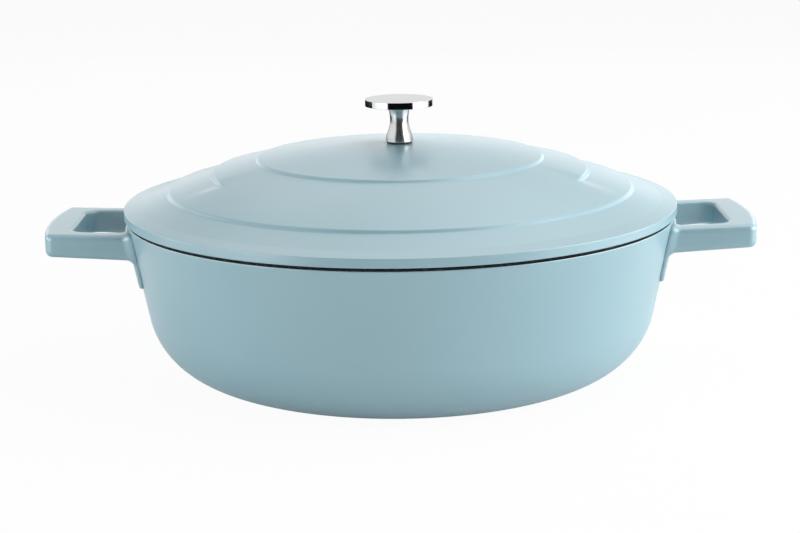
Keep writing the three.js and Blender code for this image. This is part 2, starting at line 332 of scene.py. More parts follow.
def endTree(tree, shape, finish):
    whole = addNode(tree, "GeometryNodeRealizeInstances", {"Geometry": shape}).outputs[0]
    smooth = addNode(tree, "GeometryNodeSetShadeSmooth", {"Geometry": whole}).outputs[0]
    painted = addNode(tree, "GeometryNodeSetMaterial", {"Geometry": smooth, "Material": finish})
    tree.links.new(painted.outputs[0], tree.nodes.new("NodeGroupOutput").inputs[0])


weldGap = 1e-6  # metres, closes the seam and the poles


# Turns an outline about the Z axis; fadeShift on a point lifts it away from the front
def makeTurningTree():
    inputs = {"Sides": "Int", "Fade angle": "Float", "Fade blend": "Float", "Finish": "Material"}
    tree, given = newTree("turnedPiece", inputs)
    size = addNode(tree, "GeometryNodeAttributeDomainSize", {"Geometry": given["Outline"]})
    count = size.outputs["Point Count"]
    last = mathOf(tree, "SUBTRACT", count, 1)
    rows = mathOf(tree, "ADD", given["Sides"], 1)
    gridInputs = {"Size X": last, "Size Y": given["Sides"], "Vertices X": count, "Vertices Y": rows}
    grid = addNode(tree, "GeometryNodeMeshGrid", gridInputs).outputs["Mesh"]
    here = tree.nodes.new("GeometryNodeInputPosition").outputs[0]
    cell = addNode(tree, "ShaderNodeSeparateXYZ", {"Vector": here}).outputs
    step = mathOf(tree, "ROUND", mathOf(tree, "ADD", cell["X"], mathOf(tree, "DIVIDE", last, 2.0)))
    angle = mathOf(tree, "MULTIPLY", mathOf(tree, "DIVIDE", cell["Y"], given["Sides"]), math.tau)

    def readOutline(kind, value):
        node = addNode(tree, "GeometryNodeSampleIndex", data_type=kind)
        tree.links.new(given["Outline"], node.inputs["Geometry"])
        tree.links.new(value, node.inputs["Value"])
        tree.links.new(step, node.inputs["Index"])
        return node.outputs[0]

    point = addNode(tree, "ShaderNodeSeparateXYZ", {"Vector": readOutline("FLOAT_VECTOR", here)}).outputs
    shiftName = addNode(tree, "GeometryNodeInputNamedAttribute", {"Name": "fadeShift"}, data_type="FLOAT")
    shift = readOutline("FLOAT", shiftName.outputs["Attribute"])
    east = mathOf(tree, "SINE", angle)
    north = mathOf(tree, "COSINE", angle)
    front = mathOf(tree, "ARCCOSINE", mathOf(tree, "MULTIPLY", north, -1.0))  # angle away from the front
    fadeInputs = {
        "Value": front,
        "From Min": mathOf(tree, "SUBTRACT", given["Fade angle"], given["Fade blend"]),
        "From Max": mathOf(tree, "ADD", given["Fade angle"], given["Fade blend"]),
    }
    blend = addNode(tree, "ShaderNodeMapRange", fadeInputs, interpolation_type="SMOOTHSTEP")
    fade = blend.outputs["Result"]
    place = addNode(tree, "ShaderNodeCombineXYZ", {
        "X": mathOf(tree, "MULTIPLY", point["X"], east),
        "Y": mathOf(tree, "MULTIPLY", point["X"], north),
        "Z": mathOf(tree, "MULTIPLY_ADD", shift, fade, point["Z"]),
    }).outputs[0]
    moved = addNode(tree, "GeometryNodeSetPosition", {"Geometry": grid, "Position": place}).outputs[0]
    welded = addNode(tree, "GeometryNodeMergeByDistance", {"Geometry": moved, "Distance": weldGap})
    endTree(tree, welded.outputs[0], given["Finish"])
    return tree


turningTree = makeTurningTree()


def runNodes(piece, tree, values):
    modifier = piece.modifiers.new("nodes", "NODES")
    modifier.node_group = tree
    names = {item.name: item.identifier for item in tree.interface.items_tree if item.in_out == "INPUT"}
    for name, value in values.items():
        modifier[names[name]] = value
    made = bpy.data.meshes.new_from_object(piece.evaluated_get(bpy.context.evaluated_depsgraph_get()))
    made.name = piece.name
    finishes = [finish for finish in made.materials if finish]
    made.materials.clear()  # drops the empty slot that the nodes leave in front
    made.materials.append(finishes[0])
    piece.modifiers.clear()
    piece.data = made
    return piece


def newPiece(name, mesh):
    piece = bpy.data.objects.new(name, mesh)
    scene.collection.objects.link(piece)
    return piece


def faceOutwards(piece):
    shape = bmesh.new()
    shape.from_mesh(piece.data)
    bmesh.ops.recalc_face_normals(shape, faces=shape.faces)
    shape.to_mesh(piece.data)
    shape.free()
    return piece


def turned(name, outline, finish, sides=240, shifts=None, fade=(1.0, 0.1)):  # fade acts only on shifts
    points = [(r / metre, 0, z / metre) for r, z in outline]
    mesh = bpy.data.meshes.new(name + "Outline")
    mesh.from_pydata(points, [(i, i + 1) for i in range(len(points) - 1)], [])
    if shifts is not None:
        attribute = mesh.attributes.new("fadeShift", "FLOAT", "POINT")
        attribute.data.foreach_set("value", np.array(shifts, np.float32) / metre)
    piece = newPiece(name, mesh)
    values = {"Sides": sides, "Fade angle": fade[0], "Fade blend": fade[1], "Finish": finish}
    return faceOutwards(runNodes(piece, turningTree, values))


def ready(piece, body, slotName, *nodes):
    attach(piece, body)
    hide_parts(*nodes)
    print(piece.name, "made with", len(piece.data.polygons), "faces")
    return piece


# Pan: straight drafted wall that runs through one heel arc into a flat base
panWall = {
    "thickness": 4.2,
    "draft": math.radians(11),
    "heelRadius": 41,
    "rimRounding": 0.7,
    "recessGap": 0.3,
    "recessDepth": 1.55,
    "recessRounding": 0.4,
    "heelRings": 40,
    "wallRings": 8,
}
heelTopZ = panWall["heelRadius"] * (1 - math.sin(panWall["draft"]))
heelTopR = rimRadius - (rimHeight - heelTopZ) * math.tan(panWall["draft"])
heelR = heelTopR - panWall["heelRadius"] * math.cos(panWall["draft"])


# The wall, a set distance inside its outer face, from the base up to a height
def wallCurve(inset, topHeight):
    radius = panWall["heelRadius"] - inset
    path = []
    for angle in np.linspace(math.pi / 2, panWall["draft"], panWall["heelRings"]):
        path.append((heelR + radius * math.cos(angle), panWall["heelRadius"] - radius * math.sin(angle)))
    endR, endZ = path[-1]
    for height in np.linspace(endZ, topHeight, panWall["wallRings"])[1:]:
        path.append((endR + (height - endZ) * math.tan(panWall["draft"]), height))
    return path


def rounded(point, rounding):
    return (*point, rounding)


def makePanShell():
    outer = wallCurve(0, rimHeight)
    inner = wallCurve(panWall["thickness"], rimHeight)[::-1]
    recessR = boxMm("induction_disc")[1].x + panWall["recessGap"]
    recessZ = panWall["recessDepth"]
    outline = [(0, recessZ), (recessR, recessZ), (recessR, 0, panWall["recessRounding"])] + outer[:-1]
    outline += [rounded(outer[-1], panWall["rimRounding"]), rounded(inner[0], panWall["rimRounding"])]
    outline += inner[1:] + [(0, panWall["thickness"])]
    return turned("panShell", softOutline(outline), panEnamel)


ready(makePanShell(), "pan", "pan_enamel", "pan_shell")

lining = {
    "back": 4.35,
    "thickness": 0.8,
    "lipSetback": 0.15,
    "lipRounding": 0.45,
    "lift": 0.15,
    "wrap": 0.3,
}


def makePanLining():
    lipHigh = boxMm("nonstick_lining")[1].z
    lipLow = rimHeight + lining["lift"]
    lipR = rimRadius - lining["lipSetback"]
    back = wallCurve(lining["back"], lipLow)
    face = wallCurve(lining["back"] + lining["thickness"], lipHigh)[::-1]
    outline = [(0, lining["back"])] + back
    outline += [(rimRadius - panWall["rimRounding"], lipLow), (lipR, lipLow - lining["wrap"])]
    outline += [(lipR, lipHigh, lining["lipRounding"])]
    outline += [rounded(face[0], lining["lipRounding"])] + face[1:]
    outline += [(0, lining["back"] + lining["thickness"])]
    return turned("panLining", softOutline(outline), blackNonstick)


ready(makePanLining(), "pan", "nonstick", "nonstick_lining")

baseDisc = {
    "chamfer": 0.5,
    "centreRadius": 3.0,
    "centreFloor": 1.5,
    "centreDepth": 0.35,
    "centreRounding": (0.4, 0.3),
    "faceInset": (1, 2),
    "faceRings": 30,
}


def makeBaseDisc():
    edge = boxMm("induction_disc")[1]
    centre, depth = baseDisc["centreRadius"], baseDisc["centreDepth"]
    floorRounding, mouthRounding = baseDisc["centreRounding"]
    insetIn, insetOut = baseDisc["faceInset"]
    outline = [(0, depth), (baseDisc["centreFloor"], depth, floorRounding), (centre, 0, mouthRounding)]
    outline += [(r, 0) for r in np.linspace(centre + insetIn, edge.x - insetOut, baseDisc["faceRings"])]
    outline += [(edge.x, 0, baseDisc["chamfer"]), (edge.x, edge.z), (0, edge.z)]
    return turned("baseDisc", softOutline(outline), turnedSteel)


ready(makeBaseDisc(), "pan", "base_steel", "induction_disc")
print("pan body made")

# Lid, in heights above its lower edge
lidForm = {
    "apex": 35.1,
    "crownFall": 1.8,
    "thickness": 3.6,
    "seat": 8.5,
    "highStep": ((74.7, 28.65), (76.5, 27.0)),
    "midStep": (98.4, 100.3),
    "midRise": 2.1,
    "lowStep": ((121.8, 13.35), (123.7, 11.35)),
    "panelCrown": 0.6,
    "brim": ((138, 6.6), (145.3, 4.8)),
    "brimBlend": 0.9,
    "edgeRounding": 0.4,
    "footRounding": 0.5,
    "softness": 0.1,
    "frontGap": math.radians(68),
    "frontBlend": math.radians(4),
    "guide": (133.6, 136.5),
    "guideDepth": 5.5,
    "guideRoot": 0.6,
    "guideRounding": 0.9,
    "hollowRim": 3,
    "hollowRounding": 1.5,
    "hollowInset": 4,
    "steepening": 0.15,
    "screwHole": 2.8,
}
lidEdge = lidTop - lidForm["apex"]


def line(r, inside, outside):
    return mix(inside[1], outside[1], (r - inside[0]) / (outside[0] - inside[0]))


def acrossStep(r, inner, outer, step):
    return mix(inner, outer, ease(r, step[0] - lidForm["softness"], step[1] + lidForm["softness"]))


# Smooth top of the lid without the middle step
def lidHeight(r):
    highTop, highFoot = lidForm["highStep"]
    lowTop, lowFoot = lidForm["lowStep"]
    brimIn, brimOut = lidForm["brim"]
    fall = np.maximum(r - lidForm["seat"], 0) / (highTop[0] - lidForm["seat"])
    crown = mix(lidForm["apex"], highTop[1], fall ** lidForm["crownFall"])
    t = (r - highFoot[0]) / (lowTop[0] - highFoot[0])
    panel = line(r, highFoot, lowTop) + 4 * lidForm["panelCrown"] * t * (1 - t)
    skirt = line(r, lowFoot, brimIn)
    brim = line(r, brimIn, brimOut)
    height = acrossStep(r, crown, panel, (highTop[0], highFoot[0]))
    height = acrossStep(r, height, skirt, (lowTop[0], lowFoot[0]))
    return mix(height, brim, ease(r, brimIn[0] - lidForm["brimBlend"], brimIn[0] + lidForm["brimBlend"]))


# How far the middle step lifts or lowers the panel where it is whole
def midShift(r):
    inner, outer = lidForm["highStep"][1][0], lidForm["lowStep"][0][0]
    top, foot = lidForm["midStep"]
    half = lidForm["midRise"] / 2
    inside = half * (r - inner) / (top - inner)
    outside = -half * (outer - r) / (outer - foot)
    whole = acrossStep(r, inside, outside, lidForm["midStep"])
    return np.where((r > inner) & (r < outer), whole, 0)


def hollowHeight(r):
    t = (r / lidForm["guide"][0]) ** 2
    ceiling = lidForm["apex"] - lidForm["thickness"]
    return mix(ceiling, lidForm["hollowRim"], mix(t, t * t, lidForm["steepening"]))


# How closely rings are set along the lid's top, packed across each step
lidMesh = {
    "sides": 288,
    "panelRings": 18,
    "stepRings": 24,
    "skirtRings": 10,
    "brimRings": 16,
    "hollowRings": 40,
    "stepLead": 0.4,
    "stepReach": 3.0,
    "brimLead": 2,
    "edgeInset": 2,
}


def lidRadii():
    edges = [lidForm["highStep"][0][0], lidForm["midStep"][0], lidForm["lowStep"][0][0]]
    stops = []
    start = lidForm["seat"]
    for edge in edges:
        stepStart = edge - lidMesh["stepLead"]
        stepEnd = stepStart + lidMesh["stepReach"]
        stops += list(np.linspace(start, stepStart, lidMesh["panelRings"], endpoint=False))
        stops += list(np.linspace(stepStart, stepEnd, lidMesh["stepRings"], endpoint=False))
        start = stepEnd
    brimStart = lidForm["brim"][0][0] - lidMesh["brimLead"]
    stops += list(np.linspace(start, brimStart, lidMesh["skirtRings"], endpoint=False))
    stops += list(np.linspace(brimStart, lidRadius - lidMesh["edgeInset"], lidMesh["brimRings"]))
    return np.array(stops)


def makeLidShell():
    radii = lidRadii()
    hole = lidForm["screwHole"]
    guideIn, guideOut = lidForm["guide"]
    guideLow = -lidForm["guideDepth"]
    top = [(hole, lidForm["apex"])] + list(zip(radii, lidHeight(radii)))
    shifts = [0.0] + list(midShift(radii))
    rest = [(lidRadius, float(lidHeight(lidRadius)), lidForm["edgeRounding"])]
    rest += [(lidRadius, 0, lidForm["footRounding"]), (guideOut, 0, lidForm["guideRoot"])]
    rest += [(r, guideLow, lidForm["guideRounding"]) for r in (guideOut, guideIn)]
    rest += [(guideIn, lidForm["hollowRim"], lidForm["hollowRounding"])]
    inner = np.linspace(guideIn - lidForm["hollowInset"], hole, lidMesh["hollowRings"])
    rest += [(r, hollowHeight(r)) for r in inner]
    # the corners are rounded on their own, with the last point of the top in front of them
    lower = softOutline([top[-1]] + rest)[1:]
    outline = top + lower + [top[0]]
    shifts += [0.0] * (len(lower) + 1)
    outline = [(r, z + lidEdge) for r, z in outline]
    fade = (lidForm["frontGap"], lidForm["frontBlend"])
    return turned("lidShell", outline, lidEnamel, lidMesh["sides"], shifts, fade)


ready(makeLidShell(), "lid", "lid_enamel", "lid_shell")

lidLining = {"gap": 0.15, "thickness": 0.6, "edgeGap": 0.6, "rings": 44}


def makeLidLining():
    edge = lidForm["guide"][0] - lidLining["edgeGap"]
    radii = np.linspace(lidForm["screwHole"], edge, lidLining["rings"])
    upper = [(r, lidEdge + hollowHeight(r) - lidLining["gap"]) for r in radii]
    lower = [(r, z - lidLining["thickness"]) for r, z in upper[::-1]]
    return turned("lidLining", upper + lower + upper[:1], blackNonstick)


ready(makeLidLining(), "lid", "nonstick", "lid_lining")
print("lid made")

# Knob: gasket, waisted stem and a disc with a polished rim
stemForm = {
    "bore": 2.65,
    "foot": 7.1,
    "waist": 4.85,
    "neck": 6.35,
    "waistShare": 0.62,
    "boreRounding": 0.3,
    "footRounding": 0.5,
    "footClear": 0.1,
    "footRings": 26,
    "neckClear": 0.05,
    "neckRings": 16,
    "sides": 96,
}


def makeKnobStem():
    form = stemForm
    bottom = boxMm("knob_stem")[0].z
    top = boxMm("knob_disc")[0].z
    waistZ = mix(bottom, top, form["waistShare"])
    path = [(form["bore"], bottom, form["boreRounding"]), (form["foot"], bottom, form["footRounding"])]
    for t in np.linspace(form["footClear"], 1, form["footRings"]):  # clear of the foot's rounding
        path.append((mix(form["foot"], form["waist"], float(ease(t, 0, 1))), mix(bottom, waistZ, t)))
    for t in np.linspace(form["neckClear"], 1, form["neckRings"]):
        path.append((mix(form["waist"], form["neck"], t * t), mix(waistZ, top, t)))
    outline = softOutline(path + [(form["bore"], top)])
    return turned("knobStem", outline + outline[:1], polishedSteel, form["sides"])


discForm = {
    "rimRounding": 0.15,
    "dish": 0.12,
    "dishShare": (0.8, 0.4),
    "underShare": 0.5,
    "flatNormal": 0.85,
    "sides": 160,
}


def makeKnobDisc():
    low, high = boxMm("knob_disc")
    edge, dish = discForm["rimRounding"], discForm["dish"]
    out, down = discForm["dishShare"]
    path = [(0, low.z), (high.x * discForm["underShare"], low.z)]
    path += [(high.x, low.z, edge), (high.x, high.z, edge)]
    path += [(high.x * out, high.z - dish * down), (0, high.z - dish)]
    disc = turned("knobDisc", softOutline(path), brushedSteelPaintedShade, discForm["sides"])
    disc.data.materials.append(mirrorSteel)
    for face in disc.data.polygons:
        face.material_index = 0 if abs(face.normal.z) > discForm["flatNormal"] else 1  # polished rim
    return disc


# Flat ring that fills a node's box, with the screw's hole through it
def makeFlatRing(name, node, form, finish):
    low, high = boxMm(node)
    hole = lidForm["screwHole"]
    path = [(hole, low.z, form["holeRounding"]), (high.x, low.z, form["edgeRounding"])]
    path += [(high.x, high.z, form["edgeRounding"]), (hole, high.z, form["holeRounding"])]
    outline = softOutline(path, 4)
    return turned(name, outline + outline[:1], finish, form["sides"])


gasketForm = {"holeRounding": 0.1, "edgeRounding": 0.15, "sides": 96}
gasket = makeFlatRing("knobGasket", "knob_gasket", gasketForm, mattSilicone)
ready(gasket, "lid", "gasket_silicone", "knob_gasket")
ready(makeKnobStem(), "lid", "polished_steel", "knob_stem")
ready(makeKnobDisc(), "lid", "brushed_steel", "knob_disc")

# Screw from below with a flat and a split washer
screwForm = {
    "shank": 2.5,
    "slotWidth": 1.2,
    "slotDepth": 1.4,
    "headRounding": 0.9,
    "headEdge": 0.25,
    "chamfer": 0.7,
    "headHeight": 2.8,
    "sides": 64,
    "sharpAngle": math.radians(40),
}


def makeScrew():
    low, high = boxMm("knob_screw")
    headTop = low.z + screwForm["headHeight"]
    path = [(0, low.z), (high.x, low.z, screwForm["headRounding"])]
    path += [(high.x, headTop, screwForm["headEdge"]), (screwForm["shank"], headTop)]
    path += [(screwForm["shank"], high.z, screwForm["chamfer"]), (0, high.z)]
    screw = turned("knobScrew", softOutline(path), polishedSteel, screwForm["sides"])
    cutter = bmesh.new()
    acrossHead = 4 * high.x  # runs out past both sides
    size = Vector((acrossHead, screwForm["slotWidth"], 2 * screwForm["slotDepth"])) / metre
    place = Matrix.Translation((0, 0, low.z / metre)) @ Matrix.Diagonal((*size, 1))
    bmesh.ops.create_cube(cutter, size=1, matrix=place)
    blade = newPiece("slotCutter", bpy.data.meshes.new("slotCutter"))
    cutter.to_mesh(blade.data)
    cutter.free()
    cut = screw.modifiers.new("slot", "BOOLEAN")
    cut.object = blade
    cut.operation = "DIFFERENCE"
    cut.solver = "EXACT"
    made = bpy.data.meshes.new_from_object(screw.evaluated_get(bpy.context.evaluated_depsgraph_get()))
    screw.modifiers.clear()
    screw.data = made
    made.set_sharp_from_angle(angle=screwForm["sharpAngle"])
    bpy.data.objects.remove(blade)
    return screw


# Sweeps a flat section along most of one turn of a spiral
def makeSplitTree():
    inputs = {"Radius": "Float", "Rise": "Float", "Turn": "Float", "Width": "Float", "Thickness": "Float",
              "Base": "Float", "Steps": "Int", "Finish": "Material"}
    tree, given = newTree("splitWasher", inputs)
    path = addNode(tree, "GeometryNodeCurveSpiral", {
        "Resolution": given["Steps"], "Rotations": given["Turn"], "Start Radius": given["Radius"],
        "End Radius": given["Radius"], "Height": given["Rise"],
    }).outputs[0]
    section = addNode(tree, "GeometryNodeCurvePrimitiveQuadrilateral", {
        "Width": given["Thickness"], "Height": given["Width"],
    }).outputs[0]
    sweep = {"Curve": path, "Profile Curve": section, "Fill Caps": True}
    ring = addNode(tree, "GeometryNodeCurveToMesh", sweep).outputs[0]
    lift = addNode(tree, "ShaderNodeCombineXYZ", {"Z": given["Base"]}).outputs[0]
    placed = addNode(tree, "GeometryNodeTransform", {"Geometry": ring, "Translation": lift}).outputs[0]
    endTree(tree, placed, given["Finish"])
    return tree


splitForm = {
    "turn": 0.945,
    "rise": 0.12,
    "width": 1.75,
    "thickness": 1.05,
    "steps": 72,
    "sharpAngle": math.radians(35),
}


def makeSplitWasher():
    low, high = boxMm("spring_washer")
    piece = newPiece("springWasher", bpy.data.meshes.new("springWasherStart"))
    middle = (low.z + high.z - splitForm["rise"]) / 2
    values = {
        "Radius": (high.x - splitForm["width"] / 2) / metre,
        "Rise": splitForm["rise"] / metre,
        "Turn": splitForm["turn"],
        "Width": splitForm["width"] / metre,
        "Thickness": splitForm["thickness"] / metre,
        "Base": middle / metre,
        "Steps": splitForm["steps"],
        "Finish": polishedSteel,
    }
    piece = faceOutwards(runNodes(piece, makeSplitTree(), values))
    piece.data.set_sharp_from_angle(angle=splitForm["sharpAngle"])
    return piece


washerForm = {"holeRounding": 0.15, "edgeRounding": 0.2, "sides": 96}
flatWasher = makeFlatRing("screwWasher", "screw_washer", washerForm, polishedSteel)
ready(flatWasher, "lid", "polished_steel", "screw_washer")
ready(makeSplitWasher(), "lid", "polished_steel", "spring_washer")
ready(makeScrew(), "lid", "polished_steel", "knob_screw")
print("knob and its fastening made")

# Handles: each is one casting, a loop that runs through fillets into a shield-shaped pad
handleForm = {
    "top": 82.1,
    "rootTop": 80.8,
    "thickness": 11.9,
    "rootThickness": 13.2,
    "endBulge": 4.2,
    "halfWidth": 38.6,
    "cornerRadius": 3.4,
    "edge": 2.8,
    "holeEnd": 171.3,
    "holeHalfWidth": 29,
    "holeCorner": 8,
    "holeEdge": 1.8,
    "padProud": 1.9,
    "padTop": 80.6,
    "padTopHalf": 39,
    "padLowHalf": 36.6,
    "padCorner": 51.6,
    "padNose": 49.9,
    "padRound": 5.5,
    "padEdge": 0.9,
    "fillet": 3.4,
    "seat": -0.25,
    "cell": 0.72,
}
handleReach = boxMm("right_handle")[1].x


# Distances are negative inside; a radius rounds the edge of a cut or fills the corner of a join
def roundCut(a, b, radius):
    outside = np.hypot(np.maximum(a + radius, 0), np.maximum(b + radius, 0))
    return np.minimum(np.maximum(a, b), -radius) + outside


def filletJoin(a, b, radius):
    return -roundCut(-a, -b, radius)


def wallDistance(r, z):
    draft = panWall["draft"]
    return (r - rimRadius) * math.cos(draft) - (z - rimHeight) * math.sin(draft)


def arcRadius(halfSpan, rise):
    return (halfSpan ** 2 + rise ** 2) / (2 * rise)


def loopDistance(x, y, z):
    form = handleForm
    arch = arcRadius(form["halfWidth"], form["endBulge"])
    end = np.hypot(x - (handleReach - arch), y) - arch
    outer = roundCut(np.abs(y) - form["halfWidth"], end, form["cornerRadius"])
    hole = roundCut(np.abs(y) - form["holeHalfWidth"], x - form["holeEnd"], form["holeCorner"])
    inward = (handleReach - x) / (handleReach - rimRadius)
    crest = mix(form["top"], form["rootTop"], inward)
    slab = np.maximum(z - crest, crest - mix(form["thickness"], form["rootThickness"], inward) - z)
    return roundCut(roundCut(outer, slab, form["edge"]), -hole, form["holeEdge"])


def padDistance(y, z, wall):
    form = handleForm
    lean = (form["padTopHalf"] - form["padLowHalf"]) / (form["padTop"] - form["padCorner"])
    flank = (np.abs(y) - form["padLowHalf"] - lean * (z - form["padCorner"])) / math.hypot(1, lean)
    belly = arcRadius(form["padLowHalf"], form["padCorner"] - form["padNose"])
    nose = np.hypot(y, z - form["padNose"] - belly) - belly
    shield = roundCut(roundCut(flank, nose, form["padRound"]), z - form["padTop"], form["padEdge"])
    return roundCut(shield, wall - form["padProud"], form["padEdge"])


def handleDistance(x, y, z):
    wall = wallDistance(np.hypot(x, y), z)
    casting = filletJoin(loopDistance(x, y, z), padDistance(y, z, wall), handleForm["fillet"])
    return np.maximum(casting, handleForm["seat"] - wall)


# Net of quads round the zero of a distance, one point in each cell that it crosses
def netOver(distance, low, high, cell):
    axes = [np.arange(a - 2 * cell, b + 2 * cell, cell) for a, b in zip(low, high)]
    values = distance(*np.meshgrid(*axes, indexing="ij"))
    inside = values < 0
    shape = np.array(values.shape) - 1

    def corner(grid, offset):
        return grid[tuple(slice(o, o + n) for o, n in zip(offset, shape))]

    total = np.zeros((*shape, 3))
    hits = np.zeros(shape)
    for axis in range(3):
        for side in ((0, 0), (0, 1), (1, 0), (1, 1)):
            start = np.insert(side, axis, 0)
            stop = np.insert(side, axis, 1)
            crossed = corner(inside, start) != corner(inside, stop)
            near, far = corner(values, start), corner(values, stop)
            share = np.where(crossed, near / np.where(crossed, near - far, 1), 0)
            for k in range(3):
                total[..., k] += np.where(crossed, start[k] + (share if k == axis else 0), 0)
            hits += crossed
    used = hits > 0
    number = np.full(shape, -1)
    number[used] = np.arange(used.sum())
    base = np.array([axis[0] for axis in axes])
    points = base + cell * (np.argwhere(used) + total[used] / hits[used][:, None])
    quads = []
    for axis in range(3):
        b, c = (axis + 1) % 3, (axis + 2) % 3
        ahead = np.roll(inside, -1, axis)
        edges = np.argwhere(inside != ahead)
        edges = edges[(edges[:, b] > 0) & (edges[:, c] > 0) & (edges < shape).all(1)]
        around = []
        for db, dc in ((-1, -1), (0, -1), (0, 0), (-1, 0)):
            cellAt = edges.copy()
            cellAt[:, b] += db
            cellAt[:, c] += dc
            around.append(number[tuple(cellAt.T)])
        loop = np.stack(around, 1)
        outward = inside[tuple(edges.T)]
        quads += [loop[outward], loop[~outward][:, ::-1]]
    return points, np.concatenate(quads)


# Pulls the net's points onto the true surface
def settle(points, distance, rounds=3, probe=0.02, leastSlope=0.25):
    for _ in range(rounds):
        slope = np.stack([
            (distance(*(points + move).T) - distance(*(points - move).T)) / (2 * probe)
            for move in np.eye(3) * probe
        ], 1)
        pull = distance(*points.T) / np.maximum((slope ** 2).sum(1), leastSlope)
        points = points - slope * pull[:, None]
    return points


def makeHandles():
    low, high = boxMm("right_handle")
    points, quads = netOver(handleDistance, low, high, handleForm["cell"])
    points = settle(points, handleDistance)
    for name, side in (("right", 1), ("left", -1)):
        mesh = bpy.data.meshes.new(name + "Handle")
        mesh.from_pydata((points * (side, side, 1) / metre).tolist(), [], quads.tolist())
        mesh.shade_smooth()
        mesh.materials.append(panEnamel)
        ready(newPiece(name + "Handle", mesh), "pan", "pan_enamel", name + "_handle")


makeHandles()

# Rivets: domed heads inside the pan, two for each handle
rivetForm = {
    "shank": 2.5,
    "head": 4.8,
    "headHeight": 1.8,
    "spread": math.radians(13.4),
    "height": 75,
    "bite": 6,
    "sink": 0.1,
    "sides": 40,
    "rings": 24,
    "sharpAngle": math.radians(45),
}


# Rivets in pairs, either side of each handle's middle, square to the drafted wall
def makeRivetTree():
    sizes = ("Wall radius", "Height", "Spread", "Draft", "Head radius", "Head height", "Shank radius",
             "Shank length")
    inputs = dict.fromkeys(sizes, "Float") | {"Sides": "Int", "Rings": "Int", "Finish": "Material"}
    tree, given = newTree("rivetPairs", inputs)
    index = tree.nodes.new("GeometryNodeInputIndex").outputs[0]
    pair = mathOf(tree, "FLOOR", mathOf(tree, "DIVIDE", index, 2.0))
    handleTurn = mathOf(tree, "MULTIPLY", pair, math.pi)
    sign = mathOf(tree, "MULTIPLY_ADD", mathOf(tree, "MODULO", index, 2.0), 2.0, -1.0)
    angle = mathOf(tree, "MULTIPLY_ADD", sign, given["Spread"], handleTurn)
    place = addNode(tree, "ShaderNodeCombineXYZ", {
        "X": mathOf(tree, "MULTIPLY", given["Wall radius"], mathOf(tree, "COSINE", angle)),
        "Y": mathOf(tree, "MULTIPLY", given["Wall radius"], mathOf(tree, "SINE", angle)),
        "Z": given["Height"],
    }).outputs[0]
    points = addNode(tree, "GeometryNodePoints", {"Count": 4, "Position": place}).outputs[0]  # two a handle
    dome = addNode(tree, "GeometryNodeMeshUVSphere", {
        "Segments": given["Sides"], "Rings": given["Rings"], "Radius": 1.0,
    }).outputs["Mesh"]
    position = tree.nodes.new("GeometryNodeInputPosition").outputs[0]
    here = addNode(tree, "ShaderNodeSeparateXYZ", {"Vector": position}).outputs
    squashed = addNode(tree, "ShaderNodeCombineXYZ", {  # flat below, domed above
        "X": mathOf(tree, "MULTIPLY", here["X"], given["Head radius"]),
        "Y": mathOf(tree, "MULTIPLY", here["Y"], given["Head radius"]),
        "Z": mathOf(tree, "MULTIPLY", mathOf(tree, "MAXIMUM", here["Z"], 0.0), given["Head height"]),
    }).outputs[0]
    head = addNode(tree, "GeometryNodeSetPosition", {"Geometry": dome, "Position": squashed}).outputs[0]
    shank = addNode(tree, "GeometryNodeMeshCylinder", {
        "Vertices": given["Sides"], "Radius": given["Shank radius"], "Depth": given["Shank length"],
    }).outputs["Mesh"]
    sunk = addNode(tree, "ShaderNodeCombineXYZ", {
        "Z": mathOf(tree, "SUBTRACT", mathOf(tree, "MULTIPLY", given["Head height"], 0.5),
                    mathOf(tree, "DIVIDE", given["Shank length"], 2.0)),
    }).outputs[0]
    body = addNode(tree, "GeometryNodeTransform", {"Geometry": shank, "Translation": sunk}).outputs[0]
    union = addNode(tree, "GeometryNodeMeshBoolean", operation="UNION")
    tree.links.new(head, union.inputs["Mesh 2"])
    tree.links.new(body, union.inputs["Mesh 2"])
    inward = addNode(tree, "ShaderNodeCombineXYZ", {  # along the wall's inner face normal
        "X": mathOf(tree, "MULTIPLY", mathOf(tree, "COSINE", angle), -1.0),
        "Y": mathOf(tree, "MULTIPLY", mathOf(tree, "SINE", angle), -1.0),
        "Z": mathOf(tree, "TANGENT", given["Draft"]),
    }).outputs[0]
    facing = addNode(tree, "FunctionNodeAlignRotationToVector", {"Vector": inward}, axis="Z").outputs[0]
    rows = addNode(tree, "GeometryNodeInstanceOnPoints", {
        "Points": points, "Instance": union.outputs["Mesh"], "Rotation": facing,
    }).outputs[0]
    endTree(tree, rows, given["Finish"])
    return tree


def makeRivets():
    piece = newPiece("handleRivets", bpy.data.meshes.new("handleRivetsStart"))
    draft = panWall["draft"]
    outerR = rimRadius - (rimHeight - rivetForm["height"]) * math.tan(draft)
    depth = lining["back"] + lining["thickness"] - rivetForm["sink"]  # heads sit on the lining
    values = {
        "Wall radius": (outerR - depth * math.cos(draft)) / metre,
        "Height": (rivetForm["height"] + depth * math.sin(draft)) / metre,
        "Spread": rivetForm["spread"],
        "Draft": draft,
        "Head radius": rivetForm["head"] / metre,
        "Head height": rivetForm["headHeight"] / metre,
        "Shank radius": rivetForm["shank"] / metre,
        "Shank length": (depth + rivetForm["bite"]) / metre,
        "Sides": rivetForm["sides"],
        "Rings": rivetForm["rings"],
        "Finish": satinAluminium,
    }
    piece = faceOutwards(runNodes(piece, makeRivetTree(), values))
    piece.data.set_sharp_from_angle(angle=rivetForm["sharpAngle"])
    return piece


handleEnds = [hand + "_handle_" + end for hand in ("left", "right") for end in ("front", "rear")]
rivetNodes = [end + "_rivet" for end in handleEnds]
ready(makeRivets(), "pan", "rivet_aluminium", *rivetNodes)
print("handles and rivets made")

